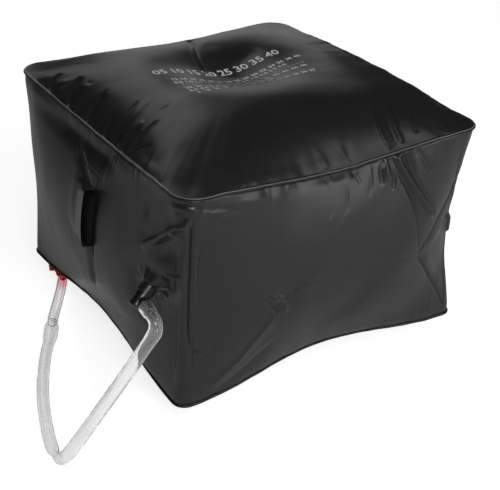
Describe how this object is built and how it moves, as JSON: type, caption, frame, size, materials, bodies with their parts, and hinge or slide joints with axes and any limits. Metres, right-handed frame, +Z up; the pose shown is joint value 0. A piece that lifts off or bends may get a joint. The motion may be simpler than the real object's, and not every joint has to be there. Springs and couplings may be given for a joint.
{
  "type": "camp shower bag",
  "caption": "Box-shaped black film water bag with an outlet elbow, a clear hose with a shower head, two carry straps and a filler with a screw cap.",
  "frame": {"origin": "middle of the flat patch that the bag rests on", "axes": "+Z up, -Y towards the front wall, -X towards the wall with the outlet"},
  "size_m": [0.5485, 0.4531, 0.3164],
  "materials": {
    "film_black": "semi-gloss soft film",
    "fitting_black": "moulded, satin",
    "nut_black": "moulded, satin",
    "strap_black": "satin film strap",
    "patch_black": "satin film",
    "seal_black": "matt",
    "hose_clear": "clear soft tube",
    "tube_grey": "smoky soft tube",
    "head_red": "moulded, glossy",
    "rose_black": "moulded, satin",
    "clip_steel": "bright spring steel"
  },
  "bodies": {
    "bag": {"bottom_film": "film_black", "filler_neck": "fitting_black", "head_tube": "tube_grey", "left_handle_patch": "patch_black", "left_handle_strap": "strap_black", "outlet_elbow": "fitting_black", "outlet_gasket": "seal_black", "outlet_hose": "hose_clear", "outlet_nut": "nut_black", "outlet_port": "fitting_black", "right_handle_patch": "patch_black", "right_handle_strap": "strap_black", "rose_body": "rose_black", "rose_plate": "rose_black", "rose_seal": "seal_black", "top_film": "film_black", "valve_body": "head_red", "wall_film": "film_black"},
    "cap_seal_carrier": {"cap_seal": "seal_black"},
    "cap": {"filler_cap": "fitting_black"},
    "valve": {"valve_plug": "head_red", "plug_seal": "seal_black", "plug_clip": "clip_steel"}
  },
  "joints": [
    {"name": "cap_rise", "type": "slide", "parent": "bag", "child": "cap_seal_carrier", "axis": [0, 0.9894, 0.1454], "range_m": [0, 0.0127]},
    {"name": "cap_turn", "type": "hinge", "parent": "cap_seal_carrier", "child": "cap", "pos_m": [0, 0.21107, 0.20006], "axis": [0, 0.9894, 0.1454], "range_deg": [0, 1080]},
    {"name": "valve_turn", "type": "hinge", "parent": "bag", "child": "valve", "pos_m": [-0.15742, 0.17224, 0.01258], "axis": [-0.866, 0.5, 0], "range_deg": [0, 90]}
  ],
  "couplings": [
    {"joint": "cap_rise", "follows": "cap_turn", "m_per_rad": 0.00066845}
  ]
}
